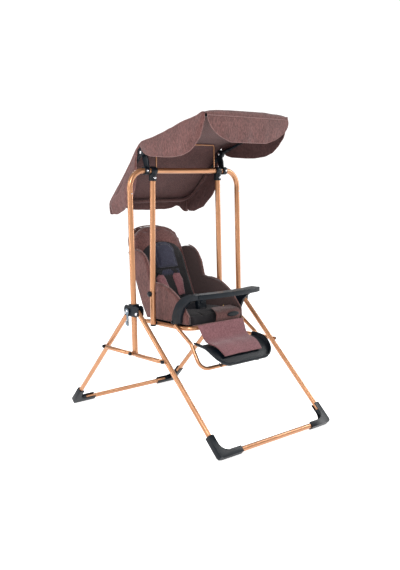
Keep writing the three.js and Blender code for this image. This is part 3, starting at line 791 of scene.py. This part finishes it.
def seatMetal():
    s = seatFrame
    for side, sign in sides.items():
        down = (barZ - s["hangerTopZ"]) / (barZ - s["knee"])
        top = sign * (s["hangerTop"] + down * (s["hangerLow"] - s["hangerTop"]))
        low = sign * s["hangerLow"]
        line = bentLine([at(top, 0, s["hangerTopZ"]), at(low, 0, s["knee"]), at(low, 0, s["end"])], 1.2, 6)
        dress(tube("hanger_" + side, line, s["radius"] / 1000), "copper", "swing_seat", "hanger_tube_" + side)
        cap = [at(sign * s["hangerLow"], 0, s["end"] + d) for d in (-4, 5)]
        dress(rounded(tube("hanger_foot_cap_" + side, cap, 0.0129), 1.5), "plastic", "swing_seat")
    corner = [at(sign * s["railX"], s["railFront"], s["railZ"]) for sign in (1, -1)]
    end = [at(sign * s["railX"], s["railBack"], s["railZ"]) for sign in (1, -1)]
    line = bentLine([end[0], corner[0], corner[1], end[1]], s["railBend"] / 1000)
    dress(tube("seat_rail", line, s["railRadius"] / 1000), "copper", "swing_seat", "seat_rail_tube")
    board = rounded(copyOf("seat_pan", "seat_board"), 1.5)
    dress(board, "plastic", "swing_seat", "seat_pan", slot="dark_board")


seatMetal()
print("stage: seat frame made")


# Padded fabric: the solid is remeshed, inflated as cloth and kept within a cap of where it was.
def measured(values, field):
    numbers = np.empty(len(values) * 3)
    values.foreach_get(field, numbers)
    return numbers.reshape(-1, 3)


def inflate(pad, voxel, pressure, cap, shrink=1.0):
    centre = sum((Vector(corner) for corner in pad.bound_box), Vector()) / 8
    if shrink != 1.0:
        pad.data.transform(Matrix.Translation(centre) @ Matrix.Scale(shrink, 4) @ Matrix.Translation(-centre))
    remesh = pad.modifiers.new("remesh", "REMESH")
    remesh.mode = "VOXEL"
    remesh.voxel_size = voxel / 1000
    bake(pad)
    start = measured(pad.data.vertices, "co")
    normal = measured(pad.data.vertex_normals, "vector")
    cloth = pad.modifiers.new("cloth", "CLOTH")
    cloth.settings.quality = 4
    cloth.settings.mass = 0.15
    cloth.settings.tension_stiffness = 12
    cloth.settings.compression_stiffness = 12
    cloth.settings.bending_stiffness = 0.6
    cloth.settings.use_pressure = True
    cloth.settings.uniform_pressure_force = pressure
    cloth.settings.effector_weights.gravity = 0
    cloth.point_cache.frame_end = 20
    for number in range(1, 21):
        scene.frame_set(number)
    bake(pad)
    scene.frame_set(1)
    # It may swell by the cap, and pull in hardly at all, so that it keeps its outline.
    moved = measured(pad.data.vertices, "co") - start
    along = (moved * normal).sum(axis=1)
    moved += normal * (np.clip(along, -0.001, cap / 1000) - along)[:, None]
    length = np.maximum(np.linalg.norm(moved, axis=1), 1e-9)
    moved *= np.minimum(cap / 1000 / length, 1)[:, None]
    pad.data.vertices.foreach_set("co", (start + moved).ravel())
    pad.data.update()
    relax = pad.modifiers.new("relax", "SMOOTH")
    relax.factor = 0.5
    relax.iterations = 4
    bake(pad)
    return subdivided(pad)


def pinch(pad, seams, width, depth):
    # Draws the surface in along seam lines, each a list of points.
    place = measured(pad.data.vertices, "co")
    normal = measured(pad.data.vertex_normals, "vector")
    near = np.full(len(place), 1e9)
    for line in seams:
        for a, b in zip(line, line[1:]):
            start, along = np.array(a), np.array(b - a)
            t = np.clip((place - start) @ along / (along @ along), 0, 1)
            near = np.minimum(near, np.linalg.norm(place - start - t[:, None] * along, axis=1))
    pull = np.exp(-((near * 1000 / width) ** 2)) * depth / 1000
    pad.data.vertices.foreach_set("co", (place - normal * pull[:, None]).ravel())
    pad.data.update()


# The voxel and the cap, which is how far a pad may swell, are in millimetres.
pads = {
    "seat_cushion": {"finish": "seatLining", "voxel": 6, "pressure": 4, "cap": 9, "shrink": 0.975,
        "fill": 0.6},
    "back_cushion": {"finish": "backPad", "voxel": 6, "pressure": 4, "cap": 10, "shrink": 0.975, "fill": 0.6},
    "head_pad": {"finish": "head", "voxel": 4, "pressure": 5, "cap": 7, "shrink": 0.96, "fill": 0.7},
}
# A wing swells little, because the bumper's arm turns close beside it.
sidePads = {
    "side_wing": {"finish": "wing", "voxel": 5, "pressure": 5, "cap": 1.2, "shrink": 0.98, "fill": 0.5},
    "shoulder_pad": {"finish": "pad", "voxel": 3, "pressure": 5, "cap": 5, "shrink": 0.94, "fill": 0.6},
}
for name, look in sidePads.items():
    for side in sides:
        pads[f"{name}_{side}"] = look


# An arch on the back: straight sides up to the shoulder, then a curve that is squarer the higher the power.
def archPoints(half, bottom, shoulder, top, n, power=2, count=32):
    arch = []
    for i in range(count + 1):
        turn = math.pi * i / count
        x = math.copysign(abs(math.cos(turn)) ** (2 / power), math.cos(turn))
        arch.append(onBack(half * x, shoulder + (top - shoulder) * math.sin(turn) ** (2 / power), n))
    return [onBack(half, bottom, n)] + arch + [onBack(-half, bottom, n)]


def padSeams(node):
    if node == "back_cushion":
        crown = [onBack(x, 411 - (x / 125) ** 2 * 40, 40) for x in range(-130, 131, 20)]
        return [archPoints(127, 60, 268, 344, 42), crown]
    if node == "seat_cushion":
        return [[at(x, y, 505) for y in (-190, -100, 0, 80)] for x in (-70, 70)]
    if node == "head_pad":
        return [archPoints(50, 222, 292, 328, 64)]
    return []


def makePads():
    for node, look in pads.items():
        soft = copyOf(node, node + "_soft")
        pad = inflate(soft, look["voxel"], look["pressure"], look["cap"], look["shrink"])
        seams = padSeams(node)
        if seams:
            pinch(pad, seams, 5, 4)
        dress(pad, look["finish"], "swing_seat", node, sharp=0)
        print("pad", node)


makePads()
print("stage: pads inflated")


# The cover behind the back, with piping round its rim.
def backCover():
    shell = inflate(copyOf("backrest_board", "back_cover"), 4, 4, 3)
    dress(shell, "cover", "swing_seat", "backrest_board", sharp=0)
    rim = archPoints(149, 12, 335, 445, -2, 2.5, 48)
    dress(tube("back_piping", rim, 0.0032, 10), "piping", "swing_seat")


wingLine = [
    (-196, 505), (-160, 548), (-122, 588), (-61, 622), (-5, 635), (62, 642), (82, 712), (110, 755),
    (140, 774), (172, 782)]


def wingTrim():
    for side, sign in sides.items():
        line = [at(sign * 161, y, z + 1) for y, z, _ in smoothLine([(y, z, 0) for y, z in wingLine], 5)]
        dress(tube("wing_piping_" + side, line, 0.0024, 10), "piping", "swing_seat")
        button("wing_snap_" + side, at(sign * 146.5, -91, 507), (-sign, 0, 0), 5, 2.2, "brass", "swing_seat")


# Webbing: over each shoulder to the buckle, round the waist, and up from the seat's front.
webbing = {
    "width": 0.026, "crotchWidth": 0.03, "buckle": (-92, 543),
    # Where each shoulder strap meets its pad: across, and up the back.
    "padTop": {"left": (46, 178), "right": (-68, 178)}, "padFoot": {"left": (56, 64), "right": (-24, 64)},
}


def harness():
    y, z = webbing["buckle"]

    def band(name, line, across, width=webbing["width"]):
        dress(strap(name, line, [Vector(across)] * len(line), width), "webbing", "swing_seat")

    for side, sign in sides.items():
        top, foot = webbing["padTop"][side], webbing["padFoot"][side]
        upper = [onBack(top[0] * 0.6, 208, 46), onBack(top[0], top[1] + 4, 60)]
        band("shoulder_web_upper_" + side, smoothLine(upper, 6), (1, 0, 0))
        lower = [onBack(foot[0], foot[1] + 6, 56), onBack(foot[0] * 0.9, 30, 70), at(sign * 34, -40, 520)]
        lower.append(at(sign * 22, y + 14, z - 6))
        band("shoulder_web_lower_" + side, smoothLine(lower, 8), (1, 0, 0.2 * sign))
        waist = [at(sign * 132, 40, 512), at(sign * 100, -10, 516), at(sign * 60, -60, 522)]
        waist.append(at(sign * 25, y + 8, z - 16))
        band("waist_web_" + side, smoothLine(waist, 8), (0, 0.3, 1))
    crotch = [at(0, -116, 509), at(0, -108, 516), at(0, y - 6, z - 24)]
    band("crotch_web", smoothLine(crotch, 6), (1, 0, 0), webbing["crotchWidth"])


# The elastic channel gathered under the headrest.
def elastic():
    rings = []
    for i in range(61):
        x = -66 + 132 * i / 60
        gather = math.sin(i * 1.3) * 1.8
        section = [(166 + gather, 44), (172, 50 + gather * 0.8), (190, 53 + gather), (206, 49 - gather * 0.8)]
        rings.append([onBack(x, u, n) for u, n in [*section, (210 - gather, 43)]])
    made = loft("headrest_elastic", rings)
    dress(made, "head", "swing_seat", sharp=0)


def buckleDetail():
    crisp("harness_buckle", "plastic", "swing_seat", 3.0, 4)
    crisp("buckle_button", "plastic", "buckle_release", 1.4, 3)
    for side, sign in sides.items():
        for row in range(3):
            spot = at(sign * (17 + row * 0.3), -92 - 10.5, 543 - 12 + row * 12)
            line = [spot + Vector((-0.0055, 0, 0)), spot + Vector((0.0055, 0, 0))]
            dress(tube(f"buckle_rib_{side}_{row}", line, 0.0017, 10), "plastic", "swing_seat")


# A flap of the cover folded over the left half of the seat's front edge, its clip, and the seam under it.
seatFlap = {
    # Each row: Y, Z and the X of the flap's right and left edge.
    "rows": [
        (-204, 467, -13, 140), (-209, 484, -12, 141), (-206, 502, -11, 142), (-192, 513, -8, 142),
        (-165, 516, 6, 142), (-132, 517, 26, 142)],
    "cut": 0.155, "waste": 1.15, "clip": (92, -212, 492),
}


def seatFront():
    grid = []
    line = smoothLine([(y, z, 0) for y, z, _, _ in seatFlap["rows"]], 5)
    for step, (y, z, _) in enumerate(line):
        row = min(step / 5, len(seatFlap["rows"]) - 1.001)
        low, high = seatFlap["rows"][int(row)], seatFlap["rows"][int(row) + 1]
        part = row - int(row)
        left, right = (low[i] + (high[i] - low[i]) * part for i in (2, 3))
        soft = [1.6 * noise.noise(Vector((c * 0.4, y * 0.03, z * 0.03))) for c in range(19)]
        grid.append([at(left + (right - left) * c / 18, y, z + soft[c]) for c in range(19)])
    flap = gridPiece("seat_flap", grid)
    flap = subdivided(thickened(flap, 2.2, 0), 1)
    dress(flap, "cover", "swing_seat", sharp=0)
    seam = [at(-143 + 286 * k / 30, -201.5 + 3 * ((k - 15) / 15) ** 4, 463) for k in range(31)]
    dress(tube("seat_front_piping", seam, 0.0034, 12), "piping", "swing_seat")
    x, y, z = seatFlap["clip"]
    turns = [2 * math.pi * k / 32 for k in range(32)]
    dome = ((1, 0), (1, 0.5), (0.94, 0.85), (0.82, 1), (0.4, 1.04))
    oval = [[at(x + 36 * r * math.cos(a), y + 1 - 4 * h, z + 11 * r * math.sin(a)) for a in turns]
        for r, h in dome]
    dress(loft("seat_flap_clip", oval), "plastic", "swing_seat", sharp=50)


# The padded roll in the crease between the seat and the back.
creaseRoll = {"half": 142, "y": 98, "z": 501, "radius": 13}


def seatCrease():
    c = creaseRoll
    line = [at(x, c["y"], c["z"] + 1.2 * math.sin(x * 0.09)) for x in range(-c["half"], c["half"] + 1, 4)]
    roll = rounded(tube("seat_crease_roll", line, c["radius"] / 1000, 20), 3)
    dress(roll, "seatLining", "swing_seat", sharp=0)


backCover()
seatCrease()
seatFront()
wingTrim()
harness()
elastic()
buckleDetail()
print("stage: seat dressed")


# The bumper bar: a flat bar with a soft section, its arms curling down to the seat rail.
def bumperBar():
    crisp("bumper_bar", "plastic", "bumper", 3.5, 4)
    for side, sign in sides.items():
        button("bumper_pivot_" + side, at(sign * 190.6, -112, 476), (sign, 0, 0), 7, 3, "plastic", "bumper")


bumperBar()
print("stage: bumper bar made")


# The footrest: tube, scooped plate and the leg rest that lies on it.
footrest = {
    # Each row: Y, Z and half width of the plate's floor, from the back to the foot of the front wall.
    "floor": [
        (-246, 386, 176), (-290, 385, 178), (-330, 374, 177), (-360, 350, 170), (-386, 325, 152),
        (-400, 312, 118)],
    "wall": 19, "lip": 8.5, "front": [(-409, 329, 111), (-412, 334, 106), (-417, 332, 100), (-418, 322, 98)],
    "thickness": 3, "armX": 199, "arm": [(-144, 467), (-249, 400), (-313, 297)],
    "bend": 0.042, "radius": 0.0085, "cut": 0.276, "waste": 1.2,
    "legRest": [(-224, 467, 138), (-240, 438, 134), (-258, 407, 130), (-282, 393, 127), (-320, 386, 123),
        (-346, 371, 119), (-370, 350, 113)],
}


def footrestFrame():
    f = footrest
    left, right = ([at(sign * f["armX"], y, z) for y, z in f["arm"]] for sign in (1, -1))
    line = bentLine(left + right[::-1], f["bend"])
    dress(tube("footrest_bar", line, f["radius"]), "copper", "footrest", "footrest_tube")


def footPlate():
    f = footrest
    # Across a row: the rolled lip outside the wall, the wall, then the floor.
    # Each: how far out from the floor's edge, and its share of the wall's height.
    lip = f["lip"]
    edge = [(lip, 0.45), (lip, 0.86), (lip - 2.5, 1), (2, 1), (-1, 0.86), (-3.5, 0.4), (-8, 0.08), (-14, 0)]
    rows = [(y, z, half, f["wall"], step * 1.6) for step, (y, z, half) in enumerate(f["floor"])]
    rows += [(y, z, half, 1.5, 0) for y, z, half in f["front"]]
    grid = []
    for y, z, half, wall, forward in rows:
        side = [(half + out, share) for out, share in edge]
        middle = [((half - 14) * (1 - 2 * k / 10), 0) for k in range(1, 10)]
        line = side + middle + [(-x, share) for x, share in reversed(side)]
        grid.append([at(x, y - forward * share, z + wall * share) for x, share in line])
    plate = thickened(gridPiece("footrest_shell", grid), f["thickness"])
    dress(subdivided(plate, 2), "plastic", "footrest", "footrest_plate", sharp=0)
    # A finger slot's rim in the front wall, and a small hook under the right corner.
    turns = [2 * math.pi * k / 24 for k in range(25)]
    slot = [at(62 + 15 * math.cos(a), -396 - 2 * math.sin(a), 316.5 + 5 * math.sin(a)) for a in turns]
    dress(tube("footrest_slot_rim", slot, 0.0014, 8), "plastic", "footrest")
    hook = smoothLine([at(-150, -372, 331), at(-151, -378, 322), at(-151, -386, 318), at(-151, -392, 322)], 5)
    dress(tube("footrest_hook", hook, 0.0022, 10), "plastic", "footrest")


def legRest():
    grid = []
    for y, z, half in smoothLine(footrest["legRest"], 6):
        row = []
        for column in range(25):
            x = half * (column / 12 - 1)
            soft = 1.8 * noise.noise(Vector((x * 0.02, y * 0.02, z * 0.02)))
            row.append(at(x, y, z + soft + 1.5 * (1 - (x / half) ** 2)))
        grid.append(row)
    made = gridPiece("leg_rest_sheet", grid)
    made = subdivided(rounded(thickened(made, 6), 1.5), 1)
    dress(made, "legRest", None, "leg_rest_pad", sharp=0)
    at(0, -226, 466)
    at(0, -268, 400)
    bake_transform(made)


footrestFrame()
footPlate()
legRest()
print("stage: footrest made")


# Every CAD node still showing gets its finish.
bySlot = {"copper_paint": "copper", "slate_plastic": "plastic", "chrome_trim": "chrome", "zinc_lever": "zinc"}
slotOf = {row["node"]: row["material_slot"] for row in frame["record"]["subparts"]}
for node, shown in frame["nodes"].items():
    if not shown.hide_render:
        shown.data.materials.clear()
        shown.data.materials.append(finishes[bySlot.get(slotOf[node], "cover")])
        print("left as made:", node)


# Floor, light and camera.
studio = {"floor": (244, 244, 244), "floorGlow": 0.72, "sky": 0.52, "backdrop": 1.15, "lens": 47.909,
    "camera": (-2.31056, -2.62014, 1.10442), "yaw": -41.9907, "pitch": 7.9606, "roll": -0.4502,
    # Each lamp: where it stands, its width and height, and its power.
    "lamps": {"key": ((-2.6, -2.6, 3.0), 1.0, 1.6, 112), "fill": ((-3.4, 1.2, 1.6), 0.7, 2.4, 46),
        "rim": ((2.8, -1.4, 1.8), 0.6, 2.4, 54), "back": ((1.6, 2.8, 2.8), 1.6, 1.2, 40)}}


def makeStudio():
    floor = makePiece("floor", [(-40, -40, 0), (40, -40, 0), (40, 40, 0), (-40, 40, 0)], [(0, 1, 2, 3)])
    floor.location.z = -0.0005
    glow = {"EmissionColor": (1, 1, 1, 1), "EmissionStrength": studio["floorGlow"]}
    paper = Finish("pale floor", SpecularIORLevel=0.1, **glow)
    mottle = paper.grain(3, 2)
    tone = paper.blend(mottle * 0.1, shade(*studio["floor"]), shade(236, 236, 236))
    paper.set(BaseColor=tone, Roughness=0.9 + mottle * 0.05)
    floor.data.materials.append(paper.material)
    world = bpy.data.worlds.new("studio sky")
    scene.world = world
    world.use_nodes = True
    tree = world.node_tree
    ground = tree.nodes["Background"]
    ground.inputs[0].default_value = (1, 1, 1, 1)
    # The sky lights softly and is seen as white.
    seen = tree.nodes.new("ShaderNodeLightPath").outputs["Is Camera Ray"]
    level = tree.nodes.new("ShaderNodeMapRange")
    level.inputs[3].default_value = studio["sky"]
    level.inputs[4].default_value = studio["backdrop"]
    tree.links.new(seen, level.inputs[0])
    tree.links.new(level.outputs[0], ground.inputs[1])
    for name, (place, width, height, power) in studio["lamps"].items():
        light = bpy.data.lights.new(name, "AREA")
        light.shape = "RECTANGLE"
        light.size = width
        light.size_y = height
        light.energy = power
        lamp = bpy.data.objects.new(name, light)
        scene.collection.objects.link(lamp)
        lamp.location = place
        lamp.rotation_mode = "QUATERNION"
        lamp.rotation_quaternion = (Vector(place) - Vector((0, 0, 0.75))).to_track_quat("Z", "Y")


def makeCamera():
    yaw, pitch, roll = (math.radians(studio[key]) for key in ("yaw", "pitch", "roll"))
    back = Vector((math.sin(yaw) * math.cos(pitch), -math.cos(yaw) * math.cos(pitch), math.sin(pitch)))
    right = Vector((math.cos(yaw), math.sin(yaw), 0))
    up = back.cross(right)
    turned = right * math.cos(roll) + up * math.sin(roll)
    level = up * math.cos(roll) - right * math.sin(roll)
    lens = bpy.data.cameras.new("camera")
    lens.lens = studio["lens"]
    lens.sensor_width = 36
    lens.clip_start = 0.05
    lens.clip_end = 200
    camera = bpy.data.objects.new("camera", lens)
    scene.collection.objects.link(camera)
    turn = Matrix((turned, level, back)).transposed().to_4x4()
    camera.matrix_world = Matrix.Translation(studio["camera"]) @ turn
    scene.camera = camera


makeStudio()
makeCamera()
scene.view_settings.view_transform = "Standard"
print("stage: studio ready")
